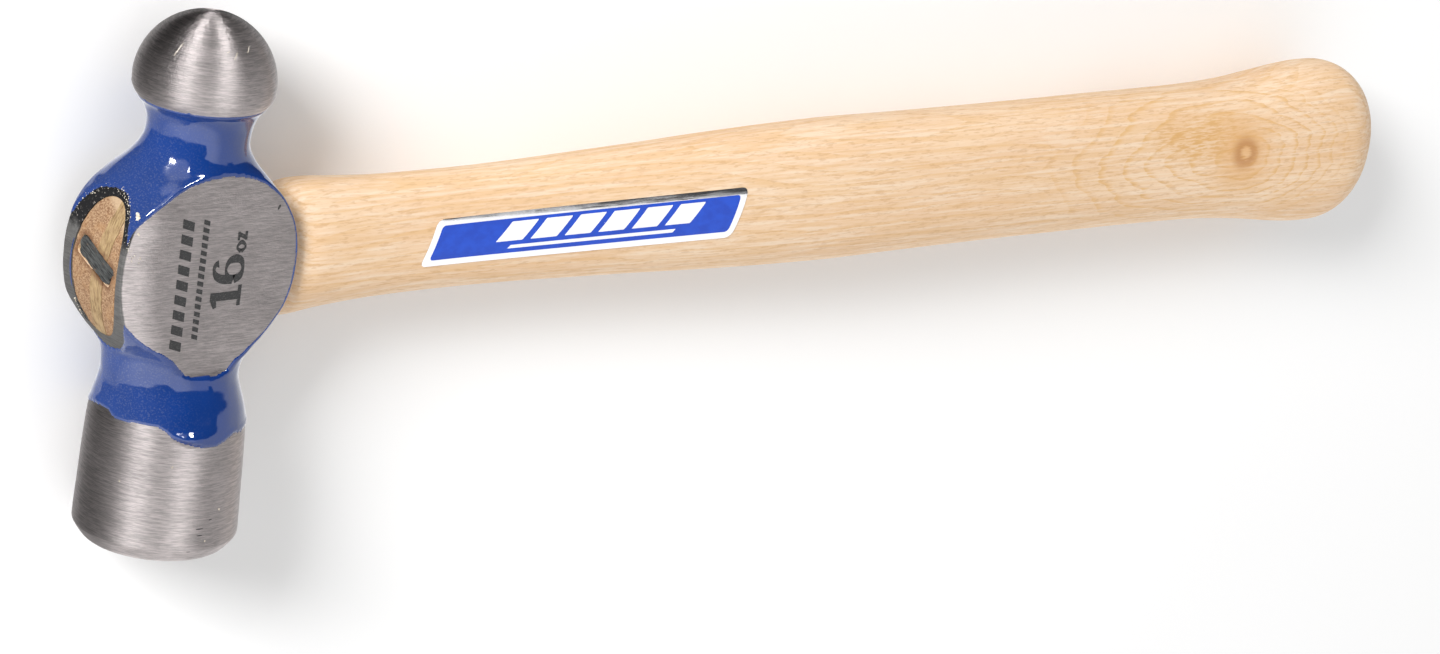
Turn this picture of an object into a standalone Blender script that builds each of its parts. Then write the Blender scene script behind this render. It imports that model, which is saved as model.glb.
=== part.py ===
"""Ball peen hammer: forged head, wooden handle, two wedges and a label.

Frame, in metres: X runs along the handle from head to butt, Y runs along the
head from striking face to ball, and Z is up, out of the marked cheek.  The
hammer lies on its side.  Dimensions below are measured from the eye's centre,
where the head's axis crosses the handle's axis.  They are drawn for a hammer
349 long and multiplied by UNIT, which makes the real one 361 mm long.
"""
import math

import bmesh
import bpy

UNIT = 0.001035          # metres for each unit of the dimensions below

# Overall layout
FRONT_X = -20.4          # crown of the ground eye end
BUTT_X = 328.6           # end of the handle
BALL_TOP_Y = 46.7
FACE_Y = -55.7
POLL_R = 15.55           # widest radius, where the striking rim starts
BALL_R = 13.3
BALL_Y = BALL_TOP_Y - BALL_R
CHEEK_Z = 10.40          # half the width across the flat cheeks
CHEEK_END_Y = -19.6      # the cheek's ground flat stops here, above the poll

EYE_X = -(FRONT_X + BUTT_X) / 2.0
AXIS_Y = -(BALL_TOP_Y + FACE_Y) / 2.0
AXIS_Z = POLL_R

# Ground eye end: an arc seen from the side, straight across the cheeks
GRIND_R = 26.0
GRIND_X = FRONT_X + GRIND_R
GRIND_Y = 0.3
GRIND_LOW_Y = -16.6

GAP = 0.3                # room between pieces that touch on the real hammer
AROUND = 48

# Ball's underside, neck and eye section, down to the poll's rim:
# (y, reach to the front, reach to the rear, half width, power)
HEAD_SECTIONS = [
    (32.2, 13.20, 13.20, 13.20, 2.0),
    (31.2, 12.75, 12.80, 12.80, 2.0),
    (30.3, 12.10, 12.20, 12.15, 2.0),
    (29.5, 11.25, 11.40, 11.30, 2.0),
    (28.4, 10.50, 10.60, 10.50, 2.0),
    (26.6, 9.85, 9.85, 9.80, 2.0),
    (24.4, 9.65, 9.35, 9.50, 2.0),
    (22.6, 10.00, 9.30, 9.50, 2.0),
    (21.0, 11.00, 9.60, 9.65, 2.1),
    (19.5, 12.30, 10.30, 10.10, 2.3),
    (18.3, 13.35, 11.00, 10.70, 2.5),
    (16.5, 14.75, 12.20, 12.40, 2.8),
    (14.7, 16.05, 13.50, 14.00, 3.0),
    (13.0, 17.55, 14.80, 15.90, 3.0),
    (11.0, 19.20, 16.10, 17.10, 3.0),
    (8.0, 21.00, 17.80, 17.60, 3.0),
    (4.0, 22.40, 19.00, 17.50, 3.0),
    (0.0, 22.60, 19.30, 17.30, 3.0),
    (-4.0, 22.30, 18.90, 17.20, 3.0),
    (-8.0, 21.10, 17.60, 16.80, 3.0),
    (-11.0, 19.10, 15.90, 15.60, 2.9),
    (-13.7, 16.95, 14.30, 14.00, 2.8),
    (-15.2, 15.50, 13.50, 13.15, 2.6),
    (-16.6, 14.40, 12.95, 12.45, 2.5),
    (-18.1, 14.05, 12.60, 11.80, 2.3),
    (-19.6, 13.95, 12.40, 11.35, 2.2),
    (-21.2, 13.90, 12.35, 11.35, 2.1),
    (-22.8, 13.85, 12.55, 11.75, 2.0),
    (-24.6, 13.90, 12.95, 12.50, 2.0),
    (-26.4, 14.10, 13.50, 13.25, 2.0),
    (-28.4, 14.45, 14.10, 13.95, 2.0),
    (-31.0, 14.85, 14.65, 14.60, 2.0),
    (-36.0, 15.10, 15.00, 15.00, 2.0),
    (-45.0, 15.38, 15.32, 15.32, 2.0),
    (-52.5, POLL_R, POLL_R, POLL_R, 2.0),
    (-53.2, 15.33, 15.33, 15.33, 2.0),
    (-55.2, 13.80, 13.80, 13.80, 2.0),
    (FACE_Y, 13.10, 13.10, 13.10, 2.0),
]
FRONT_SOFTER = 0.55      # how much of a section's squareness its front keeps

# Eye hole along X: (x, half height in Y, half width in Z)
EYE_CENTRE_Y = -0.6
EYE_POWER = 2.3
EYE_LEAN = 0.05          # the front opening leans and sits a little off centre
EYE_SHIFT_Z = 0.45
EYE_SECTIONS = [
    (-24.0, 13.90, 7.40),
    (-16.0, 13.35, 7.00),
    (-8.0, 13.05, 6.75),
    (2.0, 12.95, 6.70),
    (12.0, 13.00, 6.80),
    (24.0, 13.15, 6.95),
]

# Handle outside the eye: (x, half height in Y, half thickness in Z)
HANDLE_POWER = 2.15
HANDLE_SECTIONS = [
    (19.6, 12.75, 6.60),
    (20.6, 13.05, 7.40),
    (22.2, 13.20, 8.20),
    (25.0, 13.10, 8.50),
    (32.0, 12.55, 8.30),
    (42.0, 12.00, 8.00),
    (52.0, 11.85, 7.90),
    (64.0, 11.85, 8.15),
    (76.0, 12.05, 8.60),
    (88.0, 12.45, 9.10),
    (100.0, 12.90, 9.60),
    (112.0, 13.35, 10.15),
    (124.0, 13.90, 10.70),
    (136.0, 14.35, 11.15),
    (148.0, 14.70, 11.55),
    (162.0, 14.95, 11.90),
    (180.0, 14.80, 12.05),
    (200.0, 14.75, 12.15),
    (220.0, 14.80, 12.20),
    (240.0, 14.95, 12.30),
    (256.0, 15.05, 12.50),
    (268.0, 15.20, 12.80),
    (278.0, 15.55, 13.10),
    (287.0, 16.25, 13.40),
    (295.0, 17.20, 13.75),
    (303.0, 18.20, 14.00),
    (309.0, 18.70, 14.15),
    (313.0, 18.75, 14.20),
]
BUTT_DROP = -0.25        # the flared butt's middle sits this far off the axis
DOME_X = 313.0
DOME_POWER = 2.2
DOME_ANGLES = (12, 24, 36, 47, 57, 66, 74, 81, 86)

# Wooden wedge in the saw kerf
KERF_LEAN = 0.20         # change in Z for each unit of Y
KERF_Z = 2.0             # kerf's middle, where it crosses the handle's axis
WOOD_WEDGE_FRONT = 3.8
WOOD_WEDGE_TIP = 1.2
WOOD_WEDGE_END_X = 6.0

# Steel wedge across it
STEEL_LENGTH = 11.2
STEEL_FRONT = 3.8
STEEL_TIP = 1.0
STEEL_FRONT_X = -20.15
STEEL_END_X = -5.0
STEEL_CENTRE = (0.9, 0.6)      # (y, z)
STEEL_TURN = math.radians(21.0)

# Label on the handle's upper side
LABEL_GAP = 0.3
LABEL_THICK = 0.2
LABEL_CORNERS = ((49.8, -4.7), (127.1, -4.4), (130.5, 5.9), (53.0, 4.6))
LABEL_ROWS = 8
LABEL_COLUMNS = 26
LABEL_CORNER_R = 0.9


def clear_scene():
    for item in list(bpy.data.objects):
        bpy.data.objects.remove(item, do_unlink=True)


def world(x, y, z):
    """Drawn dimensions from the eye's centre to metres in the hammer's frame."""
    return ((EYE_X + x) * UNIT, (AXIS_Y + y) * UNIT, (AXIS_Z + z) * UNIT)


def power_oval(angle, half_a, half_b, power):
    cos_a = math.cos(angle)
    sin_a = math.sin(angle)
    a = math.copysign(abs(cos_a) ** (2.0 / power), cos_a) * half_a
    b = math.copysign(abs(sin_a) ** (2.0 / power), sin_a) * half_b
    return a, b


def blend(table, x):
    """Smooth curve through a table's rows: cubic pieces with matched slopes."""
    rows = sorted(table)
    if x <= rows[0][0]:
        return rows[0][1:]
    if x >= rows[-1][0]:
        return rows[-1][1:]
    i = max(k for k in range(len(rows) - 1) if rows[k][0] <= x)
    p1, p2 = rows[i], rows[i + 1]
    p0 = rows[i - 1] if i > 0 else p1
    p3 = rows[i + 2] if i + 2 < len(rows) else p2
    step = p2[0] - p1[0]
    t = (x - p1[0]) / step
    out = []
    for k in range(1, len(p1)):
        slope1 = (p2[k] - p0[k]) / (p2[0] - p0[0])
        slope2 = (p3[k] - p1[k]) / (p3[0] - p1[0])
        value = (2 * t ** 3 - 3 * t ** 2 + 1) * p1[k]
        value += (t ** 3 - 2 * t ** 2 + t) * step * slope1
        value += (3 * t ** 2 - 2 * t ** 3) * p2[k]
        value += (t ** 3 - t ** 2) * step * slope2
        out.append(value)
    return tuple(out)


def mesh_object(name, bm):
    bmesh.ops.recalc_face_normals(bm, faces=bm.faces[:])
    mesh = bpy.data.meshes.new(name)
    bm.to_mesh(mesh)
    bm.free()
    obj = bpy.data.objects.new(name, mesh)
    bpy.context.scene.collection.objects.link(obj)
    return obj


def loft(name, rings, start_tip=None, end_tip=None):
    """Skin a list of equal rings; each end is a flat face or a fan to a tip."""
    bm = bmesh.new()
    loops = [[bm.verts.new(world(*point)) for point in ring] for ring in rings]
    count = len(loops[0])
    for low, high in zip(loops, loops[1:]):
        for i in range(count):
            j = (i + 1) % count
            bm.faces.new((low[i], low[j], high[j], high[i]))
    for loop, tip in ((loops[0], start_tip), (loops[-1], end_tip)):
        if tip is None:
            bm.faces.new(loop)
            continue
        centre = bm.verts.new(world(*tip))
        for i in range(count):
            bm.faces.new((loop[i], loop[(i + 1) % count], centre))
    return mesh_object(name, bm)


def prism(name, outline, offset_a, offset_b):
    """Solid between two outlines: offset functions place each corner."""
    bm = bmesh.new()
    low = [bm.verts.new(world(*offset_a(p))) for p in outline]
    high = [bm.verts.new(world(*offset_b(p))) for p in outline]
    bm.faces.new(low)
    bm.faces.new(high)
    count = len(outline)
    for i in range(count):
        j = (i + 1) % count
        bm.faces.new((low[i], low[j], high[j], high[i]))
    return mesh_object(name, bm)


def as_cutter(obj):
    obj.hide_render = True
    obj.display_type = 'WIRE'
    return obj


def add_boolean(obj, cutter, operation='DIFFERENCE'):
    mod = obj.modifiers.new(cutter.name, 'BOOLEAN')
    mod.operation = operation
    mod.solver = 'EXACT'
    mod.object = cutter


def apply_booleans(obj):
    """Bake the cuts so that the piece is one plain closed mesh."""
    graph = bpy.context.evaluated_depsgraph_get()
    mesh = bpy.data.meshes.new_from_object(obj.evaluated_get(graph))
    obj.modifiers.clear()
    old = obj.data
    obj.data = mesh
    bpy.data.meshes.remove(old)


def clean(obj):
    bm = bmesh.new()
    bm.from_mesh(obj.data)
    bmesh.ops.remove_doubles(bm, verts=bm.verts[:], dist=0.00002)
    bmesh.ops.dissolve_degenerate(bm, dist=0.00001, edges=bm.edges[:])
    bmesh.ops.recalc_face_normals(bm, faces=bm.faces[:])
    bm.to_mesh(obj.data)
    bm.free()


def shade(obj, degrees):
    obj.data.shade_smooth()
    obj.data.set_sharp_from_angle(angle=math.radians(degrees))


def paint(obj, name, colour, roughness, metallic):
    material = bpy.data.materials.new(name)
    material.use_nodes = True
    shader = material.node_tree.nodes["Principled BSDF"]
    shader.inputs["Base Color"].default_value = (*colour, 1.0)
    shader.inputs["Roughness"].default_value = roughness
    shader.inputs["Metallic"].default_value = metallic
    obj.data.materials.clear()
    obj.data.materials.append(material)


def head_ring(y, front, rear, half, power):
    soft = 2.0 + (power - 2.0) * FRONT_SOFTER
    ring = []
    for i in range(AROUND):
        angle = 2.0 * math.pi * i / AROUND
        ahead = math.cos(angle) < 0.0
        reach = front if ahead else rear
        x, z = power_oval(angle, reach, half, soft if ahead else power)
        ring.append((x, y, z))
    return ring


def head_blank():
    rings = []
    for degrees in (78, 66, 54, 43, 32, 21, 10, 0):
        a = math.radians(degrees)
        r = BALL_R * math.cos(a)
        rings.append(head_ring(BALL_Y + BALL_R * math.sin(a), r, r, r, 2.0))
    for row in HEAD_SECTIONS:
        rings.append(head_ring(*row))
    return loft("head", rings, start_tip=(0.0, BALL_TOP_Y, 0.0))


def cheek_cutter(name, side):
    """Wedge-ended block that leaves one flat cheek."""
    far = 30.0
    run = 1.2
    outline = [(CHEEK_END_Y, CHEEK_Z), (30.0, CHEEK_Z), (30.0, far)]
    outline += [(CHEEK_END_Y - run * (far - CHEEK_Z), far)]
    turned = [(y, side * z) for y, z in outline]
    return prism(name, turned, lambda p: (-40.0, p[0], p[1]), lambda p: (40.0, p[0], p[1]))


def grind_cutter():
    """Everything in front of the ground eye end's arc."""
    outline = [(-45.0, GRIND_LOW_Y)]
    steps = 22
    top = 19.0
    for i in range(steps + 1):
        y = GRIND_LOW_Y + (top - GRIND_LOW_Y) * i / steps
        x = GRIND_X - math.sqrt(GRIND_R ** 2 - (y - GRIND_Y) ** 2)
        outline.append((x, y))
    outline.append((-45.0, top))
    place = "grind_cutter"
    return prism(place, outline, lambda p: (p[0], p[1], -30.0), lambda p: (p[0], p[1], 30.0))


def eye_ring(x, inset):
    half_y, half_z = blend(EYE_SECTIONS, x)
    ahead = min(1.0, max(0.0, (8.0 - x) / 26.0))
    ring = []
    for i in range(AROUND):
        angle = 2.0 * math.pi * i / AROUND
        y, z = power_oval(angle, half_y - inset, half_z - inset, EYE_POWER)
        z += ahead * (EYE_SHIFT_Z + EYE_LEAN * y)
        ring.append((x, EYE_CENTRE_Y + y, z))
    return ring


def handle_ring(x, half_y, half_z, centre_y=0.0):
    ring = []
    for i in range(AROUND):
        angle = 2.0 * math.pi * i / AROUND
        y, z = power_oval(angle, half_y, half_z, HANDLE_POWER)
        ring.append((x, centre_y + y, z))
    return ring


def handle_middle(x):
    """Middle of the handle in Y: level with the eye's, then the axis, then the butt's."""
    settle = min(1.0, max(0.0, (x - 19.0) / 9.0))
    drop = min(1.0, max(0.0, (x - 240.0) / 50.0))
    return EYE_CENTRE_Y * (1.0 - settle) + BUTT_DROP * drop * drop * (3.0 - 2.0 * drop)


def handle_blank():
    rings = [eye_ring(x, GAP) for x in (-23.0, -16.0, -8.0, 2.0, 12.0, 18.4)]
    for row in HANDLE_SECTIONS:
        rings.append(handle_ring(*row, centre_y=handle_middle(row[0])))
    last = HANDLE_SECTIONS[-1]
    for degrees in DOME_ANGLES:
        grow, shrink = power_oval(math.radians(degrees), 1.0, 1.0, DOME_POWER)
        x = DOME_X + (BUTT_X - DOME_X) * shrink
        rings.append(handle_ring(x, last[1] * grow, last[2] * grow, BUTT_DROP))
    return loft("handle", rings, end_tip=(BUTT_X, BUTT_DROP, 0.0))


def kerf_solid(name, spare):
    """Tapered slab through the tenon; spare widens it all round."""
    def corner(x, half):
        def place(point):
            y = point[0]
            z = KERF_Z + KERF_LEAN * y + point[1] * half
            return (x, y, z)
        return place
    outline = [(-15.5, -1.0), (15.5, -1.0), (15.5, 1.0), (-15.5, 1.0)]
    front_x = -26.0
    rate = (WOOD_WEDGE_FRONT - WOOD_WEDGE_TIP) / (WOOD_WEDGE_END_X - FRONT_X)
    front = WOOD_WEDGE_FRONT / 2.0 + rate * (FRONT_X - front_x) / 2.0 + spare
    tip = WOOD_WEDGE_TIP / 2.0 + spare
    end_x = WOOD_WEDGE_END_X + spare
    return prism(name, outline, corner(front_x, front), corner(end_x, tip))


def steel_solid(name, spare, front_x):
    """Tapered block lying across the kerf."""
    cos_t = math.cos(STEEL_TURN)
    sin_t = math.sin(STEEL_TURN)
    rate = (STEEL_FRONT - STEEL_TIP) / (STEEL_END_X - STEEL_FRONT_X)

    def corner(x):
        half = (STEEL_FRONT - rate * (x - STEEL_FRONT_X)) / 2.0 + spare
        reach = STEEL_LENGTH / 2.0 + spare

        def place(point):
            along = point[0] * reach
            across = point[1] * half
            y = STEEL_CENTRE[0] + along * sin_t + across * cos_t
            z = STEEL_CENTRE[1] - along * cos_t + across * sin_t
            return (x, y, z)
        return place
    outline = [(-1.0, -1.0), (1.0, -1.0), (1.0, 1.0), (-1.0, 1.0)]
    return prism(name, outline, corner(front_x), corner(STEEL_END_X + spare))


def side_point(x, y, lift):
    """Point on the handle's upper side, lifted along its normal."""
    half_y, half_z = blend(HANDLE_SECTIONS, x)
    n = HANDLE_POWER
    z = half_z * (1.0 - abs(y / half_y) ** n) ** (1.0 / n)
    grad_y = math.copysign(abs(y / half_y) ** (n - 1.0) / half_y, y)
    grad_z = (z / half_z) ** (n - 1.0) / half_z
    size = math.hypot(grad_y, grad_z)
    return (x, y + lift * grad_y / size, z + lift * grad_z / size)


def label_point(u, v):
    """Position on the label: u along it and v up it, each from 0 to 1."""
    low_left, low_right, top_right, top_left = LABEL_CORNERS
    x = (1 - v) * ((1 - u) * low_left[0] + u * low_right[0])
    x += v * ((1 - u) * top_left[0] + u * top_right[0])
    y = (1 - v) * ((1 - u) * low_left[1] + u * low_right[1])
    y += v * ((1 - u) * top_left[1] + u * top_right[1])
    return x, y


def label_solid():
    """Thin curved sheet with rounded corners, following the handle."""
    bm = bmesh.new()
    layers = []
    length = 77.4
    height = 10.0
    for lift in (LABEL_GAP, LABEL_GAP + LABEL_THICK):
        grid = []
        for r in range(LABEL_ROWS + 1):
            v = r / LABEL_ROWS
            edge = min(v, 1.0 - v) * height
            pull = 0.0
            if edge < LABEL_CORNER_R:
                drop = LABEL_CORNER_R - edge
                pull = LABEL_CORNER_R - math.sqrt(LABEL_CORNER_R ** 2 - drop ** 2)
            row = []
            for c in range(LABEL_COLUMNS + 1):
                u = pull / length + (1.0 - 2.0 * pull / length) * c / LABEL_COLUMNS
                x, y = label_point(u, v)
                row.append(bm.verts.new(world(*side_point(x, y, lift))))
            grid.append(row)
        layers.append(grid)
    for grid in layers:
        for r in range(LABEL_ROWS):
            for c in range(LABEL_COLUMNS):
                quad = (grid[r][c], grid[r][c + 1], grid[r + 1][c + 1], grid[r + 1][c])
                bm.faces.new(quad)
    rim_low = label_rim(layers[0])
    rim_high = label_rim(layers[1])
    for i in range(len(rim_low)):
        j = (i + 1) % len(rim_low)
        bm.faces.new((rim_low[i], rim_low[j], rim_high[j], rim_high[i]))
    return mesh_object("label", bm)


def label_rim(grid):
    rim = list(grid[0])
    rim += [row[-1] for row in grid[1:]]
    rim += list(reversed(grid[-1][:-1]))
    rim += [row[0] for row in reversed(grid[1:-1])]
    return rim


def build():
    clear_scene()
    grind = as_cutter(grind_cutter())

    head = head_blank()
    cheek_up = as_cutter(cheek_cutter("cheek_cutter_up", 1.0))
    cheek_down = as_cutter(cheek_cutter("cheek_cutter_down", -1.0))
    eye_rings = [eye_ring(x, 0.0) for x in (-24.0, -16.0, -8.0, 2.0, 12.0, 24.0)]
    eye = as_cutter(loft("eye_cutter", eye_rings))
    for cutter in (cheek_up, cheek_down, grind, eye):
        add_boolean(head, cutter)

    handle = handle_blank()
    kerf = as_cutter(kerf_solid("kerf_cutter", GAP))
    slot = as_cutter(steel_solid("slot_cutter", GAP, -26.0))
    for cutter in (kerf, slot, grind):
        add_boolean(handle, cutter)

    wood_wedge = kerf_solid("wood_wedge", 0.0)
    core_rings = [eye_ring(x, GAP) for x in (-23.0, -16.0, -8.0, 2.0, 12.0)]
    core = as_cutter(loft("core_cutter", core_rings))
    add_boolean(wood_wedge, core, 'INTERSECT')
    add_boolean(wood_wedge, slot)
    add_boolean(wood_wedge, grind)

    steel_wedge = steel_solid("steel_wedge", 0.0, STEEL_FRONT_X)
    label = label_solid()

    for obj in (head, handle, wood_wedge):
        apply_booleans(obj)
        clean(obj)
    for cutter in (cheek_up, cheek_down, eye, grind, kerf, slot, core):
        bpy.data.objects.remove(cutter, do_unlink=True)

    shade(head, 28.0)
    shade(handle, 40.0)
    shade(wood_wedge, 30.0)
    shade(steel_wedge, 30.0)
    shade(label, 40.0)
    paint(head, "head_steel", (0.46, 0.45, 0.44), 0.34, 1.0)
    paint(handle, "hickory", (0.80, 0.62, 0.40), 0.45, 0.0)
    paint(wood_wedge, "wedge_wood", (0.74, 0.54, 0.24), 0.6, 0.0)
    paint(steel_wedge, "wedge_steel", (0.20, 0.20, 0.20), 0.5, 1.0)
    paint(label, "foil", (0.03, 0.09, 0.55), 0.25, 0.0)


build()
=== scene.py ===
"""Looks of the ball peen hammer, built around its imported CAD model.

Lengths are the CAD's drawn units, measured from the eye's centre: x along the
handle, y along the head from face to ball, z out of the marked cheek.
"""
import math

import bmesh
import bpy
import numpy as np
from mathutils import Matrix, Vector
from mathutils.kdtree import KDTree

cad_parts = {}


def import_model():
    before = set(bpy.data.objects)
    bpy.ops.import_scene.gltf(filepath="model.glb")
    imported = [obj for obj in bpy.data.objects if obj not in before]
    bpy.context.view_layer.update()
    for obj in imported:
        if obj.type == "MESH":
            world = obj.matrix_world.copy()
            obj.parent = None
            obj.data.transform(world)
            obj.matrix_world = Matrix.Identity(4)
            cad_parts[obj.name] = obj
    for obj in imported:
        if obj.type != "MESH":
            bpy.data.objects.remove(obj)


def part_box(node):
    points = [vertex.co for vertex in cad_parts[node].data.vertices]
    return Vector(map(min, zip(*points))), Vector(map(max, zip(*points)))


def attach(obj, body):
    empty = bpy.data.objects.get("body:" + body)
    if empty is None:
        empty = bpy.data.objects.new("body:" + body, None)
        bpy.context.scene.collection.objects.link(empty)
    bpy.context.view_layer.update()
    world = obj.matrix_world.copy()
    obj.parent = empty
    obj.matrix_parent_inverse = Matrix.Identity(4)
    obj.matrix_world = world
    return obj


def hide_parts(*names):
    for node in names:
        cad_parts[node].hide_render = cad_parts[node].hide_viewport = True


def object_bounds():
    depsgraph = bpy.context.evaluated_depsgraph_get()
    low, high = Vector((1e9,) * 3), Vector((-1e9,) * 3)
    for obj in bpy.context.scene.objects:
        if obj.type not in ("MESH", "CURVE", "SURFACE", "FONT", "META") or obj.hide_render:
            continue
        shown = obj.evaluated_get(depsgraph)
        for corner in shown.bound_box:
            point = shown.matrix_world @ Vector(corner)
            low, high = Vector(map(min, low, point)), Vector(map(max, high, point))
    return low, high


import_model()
CAD_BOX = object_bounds()

# ---- dimensions
FRONT_X = -20.4
BUTT_X = 328.6
BALL_TOP_Y = 46.7
FACE_Y = -55.7
POLL_R = 15.55
BALL_R = 13.3
BALL_Y = BALL_TOP_Y - BALL_R
CHEEK_Z = 10.40
CHEEK_END_Y = -19.6
GRIND_R = 26.0
GRIND_X = FRONT_X + GRIND_R
GRIND_Y = 0.3
GRIND_LOW_Y = -16.6
GRIND_HIGH_Y = 19.0
CHEEK_TOP_Y = 24.0
CHEEK_ROLL = 0.025
CHEEK_ROLL_X = 7.5
BALL_END_Y = 32.2
HEAD_COLUMNS = 320

HEAD_LOW, HEAD_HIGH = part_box("head")
UNIT = (HEAD_HIGH.y - HEAD_LOW.y) / (BALL_TOP_Y - FACE_Y)
EYE = np.array([CAD_BOX[0].x - FRONT_X * UNIT, HEAD_LOW.y - FACE_Y * UNIT,
                HEAD_LOW.z + POLL_R * UNIT])

# y, reach ahead, reach behind, half width, power of the superellipse
HEAD_SECTIONS = [
    (32.2, 13.2, 13.2, 13.2, 2.0), (31.2, 12.75, 12.8, 12.8, 2.0), (30.3, 12.1, 12.2, 12.15, 2.0),
    (29.5, 11.25, 11.4, 11.3, 2.0), (28.4, 10.5, 10.6, 10.5, 2.0), (26.6, 9.85, 9.85, 9.8, 2.0),
    (24.4, 9.65, 9.35, 9.5, 2.0), (22.6, 10.0, 9.3, 9.5, 2.0), (21.0, 11.0, 9.6, 9.65, 2.1),
    (19.5, 12.3, 10.3, 10.1, 2.3), (18.3, 13.35, 11.0, 10.7, 2.5), (16.5, 14.75, 12.2, 12.4, 2.8),
    (14.7, 16.05, 13.5, 14.0, 3.0), (13.0, 17.55, 14.8, 15.9, 3.0), (11.0, 19.2, 16.1, 17.1, 3.0),
    (8.0, 21.0, 17.8, 17.6, 3.0), (4.0, 22.4, 19.0, 17.5, 3.0), (0.0, 22.6, 19.3, 17.3, 3.0),
    (-4.0, 22.3, 18.9, 17.2, 3.0), (-8.0, 21.1, 17.6, 16.8, 3.0), (-11.0, 19.1, 15.9, 15.6, 2.9),
    (-13.7, 16.95, 14.3, 14.0, 2.8), (-15.2, 15.5, 13.5, 13.15, 2.6), (-16.6, 14.4, 12.95, 12.45, 2.5),
    (-18.1, 14.05, 12.6, 11.8, 2.3), (-19.6, 13.95, 12.4, 11.35, 2.2), (-21.2, 13.9, 12.35, 11.35, 2.1),
    (-22.8, 13.85, 12.55, 11.75, 2.0), (-24.6, 13.9, 12.95, 12.5, 2.0), (-26.4, 14.1, 13.5, 13.25, 2.0),
    (-28.4, 14.45, 14.1, 13.95, 2.0), (-31.0, 14.85, 14.65, 14.6, 2.0), (-36.0, 15.1, 15.0, 15.0, 2.0),
    (-45.0, 15.38, 15.32, 15.32, 2.0), (-52.5, POLL_R, POLL_R, POLL_R, 2.0),
    (-53.2, 15.33, 15.33, 15.33, 2.0), (-55.2, 13.8, 13.8, 13.8, 2.0), (FACE_Y, 13.1, 13.1, 13.1, 2.0),
]
FRONT_SOFTER = 0.55     # how square the front is, as a share of the rear

EYE_CENTRE_Y = -0.6
EYE_POWER = 2.3
EYE_LEAN = 0.05
EYE_SHIFT_Z = 0.45
# x, half height, half width
EYE_SECTIONS = [
    (-24.0, 13.9, 7.4), (-16.0, 13.35, 7.0), (-8.0, 13.05, 6.75), (2.0, 12.95, 6.7),
    (12.0, 13.0, 6.8), (24.0, 13.15, 6.95),
]

TENON_X = -20.0
HANDLE_POWER = 2.15
# x, half height, half width
HANDLE_SECTIONS = [
    (19.6, 12.75, 6.6), (20.6, 13.05, 7.4), (22.2, 13.2, 8.2), (25.0, 13.1, 8.5),
    (32.0, 12.55, 8.3), (42.0, 12.0, 8.0), (52.0, 11.85, 7.9), (64.0, 11.85, 8.15),
    (76.0, 12.05, 8.6), (88.0, 12.45, 9.1), (100.0, 12.9, 9.6), (112.0, 13.35, 10.15),
    (124.0, 13.9, 10.7), (136.0, 14.35, 11.15), (148.0, 14.7, 11.55), (162.0, 14.95, 11.9),
    (180.0, 14.8, 12.05), (200.0, 14.75, 12.15), (220.0, 14.8, 12.2), (240.0, 14.95, 12.3),
    (256.0, 15.05, 12.5), (268.0, 15.2, 12.8), (278.0, 15.55, 13.1), (287.0, 16.25, 13.4),
    (295.0, 17.2, 13.75), (303.0, 18.2, 14.0), (309.0, 18.7, 14.15), (313.0, 18.75, 14.2),
]
BUTT_DROP = -0.25
DOME_X = 313.0
DOME_POWER = 2.2

KERF_LEAN = 0.20
KERF_Z = 2.0
WOOD_WEDGE_FRONT = 3.8
WOOD_WEDGE_TIP = 1.2
WOOD_WEDGE_END_X = 6.0
STEEL_LENGTH = 11.2
STEEL_FRONT = 3.8
STEEL_TIP = 1.0
STEEL_FRONT_X = -20.15
STEEL_END_X = -5.0
STEEL_CENTRE = (0.9, 0.6)
STEEL_TURN = math.radians(21.0)
STEEL_POWER = 2 / 0.22
CUT_FROM_X = -26.0

LABEL_CORNERS = ((49.8, -4.7), (127.1, -4.4), (130.5, 5.9), (53.0, 4.6))
LABEL_LENGTH, LABEL_HEIGHT = 77.4, 10.0

# Enamel: its lower edge round the poll, (degrees round the head, y)
ENAMEL_EDGE = [
    (0, -30.4), (30, -31.0), (54, -31.6), (66, -31.2), (76, -32.0),
    (89, -32.8), (101, -32.5), (113, -31.8), (121, -30.8), (128, -29.5),
    (136, -29.0), (150, -29.2), (168, -29.2), (175, -28.4), (195, -28.7),
    (220, -30.2), (245, -31.0), (270, -29.6), (300, -28.9), (330, -29.8),
]
ENAMEL_TOP_Y = 30.2
# bare ring round the eye's front opening
RING_Y = -1.1
RING_HALF_Y = 15.3
RING_HALF_Z = 10.1
ENAMEL_THICK = 0.17
ENAMEL_COLUMNS = 440

# camera: degrees round and above the standing hammer, and of its tilt
CAMERA_TURN = (43.83, 17.41, 8.65)
CAMERA_PLACE = (-482.96, 252.97, 647.09)
CAMERA_LENS = 113.76
# light of the surround on matt and on glossy surfaces
AMBIENT = 0.58
GLOSS = 2.0
FLOOR_HALF = 6.0


# ---- helpers
def world(points):
    """Drawn units from the eye's centre to metres in the row frame."""
    return EYE + np.asarray(points, float) * UNIT


def hermite(table, xs):
    """Smooth curve through a table's rows, evaluated at every x."""
    rows = np.array(sorted(table), float)
    key, val = rows[:, 0], rows[:, 1:]
    xs = np.clip(np.asarray(xs, float), key[0], key[-1])
    i = np.clip(np.searchsorted(key, xs, side="right") - 1, 0, len(key) - 2)
    slope = np.empty_like(val)
    slope[1:-1] = (val[2:] - val[:-2]) / (key[2:] - key[:-2])[:, None]
    slope[0] = (val[1] - val[0]) / (key[1] - key[0])
    slope[-1] = (val[-1] - val[-2]) / (key[-1] - key[-2])
    step = (key[i + 1] - key[i])[:, None]
    t = ((xs - key[i]) / (key[i + 1] - key[i]))[:, None]
    return ((2 * t ** 3 - 3 * t ** 2 + 1) * val[i]
            + (t ** 3 - 2 * t ** 2 + t) * step * slope[i]
            + (3 * t ** 2 - 2 * t ** 3) * val[i + 1]
            + (t ** 3 - t ** 2) * step * slope[i + 1])


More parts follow.
